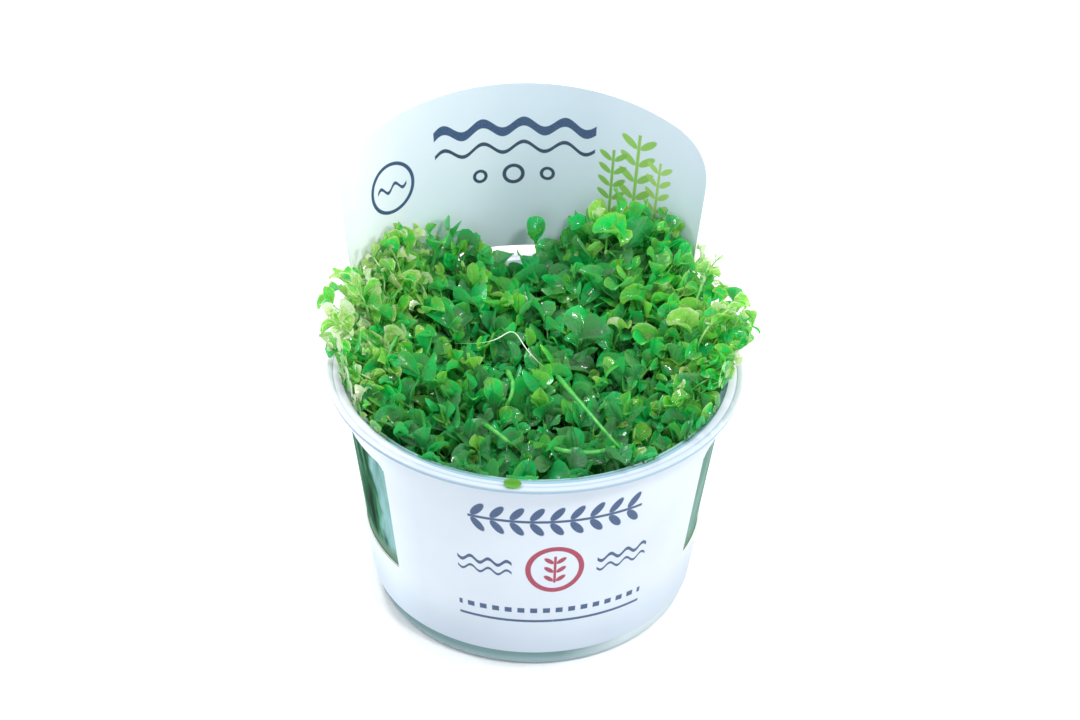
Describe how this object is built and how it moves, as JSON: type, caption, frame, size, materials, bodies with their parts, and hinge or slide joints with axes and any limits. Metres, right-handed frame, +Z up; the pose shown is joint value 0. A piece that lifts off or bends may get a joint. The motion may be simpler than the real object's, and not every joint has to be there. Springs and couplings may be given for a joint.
{
  "type": "pearlweed",
  "caption": "Pearlweed, a small-leaved aquarium plant, growing on jelly in a clear plastic pot with a printed card sleeve and an arched tab behind it.",
  "frame": {"origin": "centre of the pot's flat underside", "axes": "+Z up along the pot's axis, -Y towards the front of the sleeve, +X to the right"},
  "size_m": [0.1029, 0.1038, 0.1093],
  "materials": {
    "clear_plastic": "clear moulded plastic, smooth and glossy",
    "coated_card": "coated white card with a satin face",
    "nutrient_jelly": "cloudy wet jelly",
    "shaded_leaves": "crowded leaves and stems in shade",
    "green_leaves": "moist leaves with a soft gloss",
    "lime_leaf": "a fallen lime green leaf"
  },
  "bodies": {
    "root": {"drooping_sprig": "green_leaves", "jelly": "nutrient_jelly", "loose_leaf": "lime_leaf", "pot": "clear_plastic", "sleeve": "coated_card", "sprig_01": "green_leaves", "sprig_02": "green_leaves", "sprig_03": "green_leaves", "sprig_04": "green_leaves", "sprig_05": "green_leaves", "sprig_06": "green_leaves", "sprig_07": "green_leaves", "sprig_08": "green_leaves", "sprig_09": "green_leaves", "sprig_10": "green_leaves", "sprig_11": "green_leaves", "sprig_12": "green_leaves", "sprig_13": "green_leaves", "sprig_14": "green_leaves", "sprig_15": "green_leaves", "sprig_16": "green_leaves", "sprig_17": "green_leaves", "sprig_18": "green_leaves", "sprig_19": "green_leaves", "sprig_20": "green_leaves", "sprig_21": "green_leaves", "sprig_22": "green_leaves", "sprig_23": "green_leaves", "sprig_24": "green_leaves", "sprig_25": "green_leaves", "sprig_26": "green_leaves", "sprig_27": "green_leaves", "sprig_28": "green_leaves", "sprig_29": "green_leaves", "sprig_30": "green_leaves", "sprig_31": "green_leaves", "sprig_32": "green_leaves", "sprig_33": "green_leaves", "sprig_34": "green_leaves", "stray_sprig": "green_leaves", "tall_left_sprig": "green_leaves", "tall_right_sprig": "green_leaves", "undergrowth": "shaded_leaves", "upright_sprig": "green_leaves"}
  },
  "joints": []
}
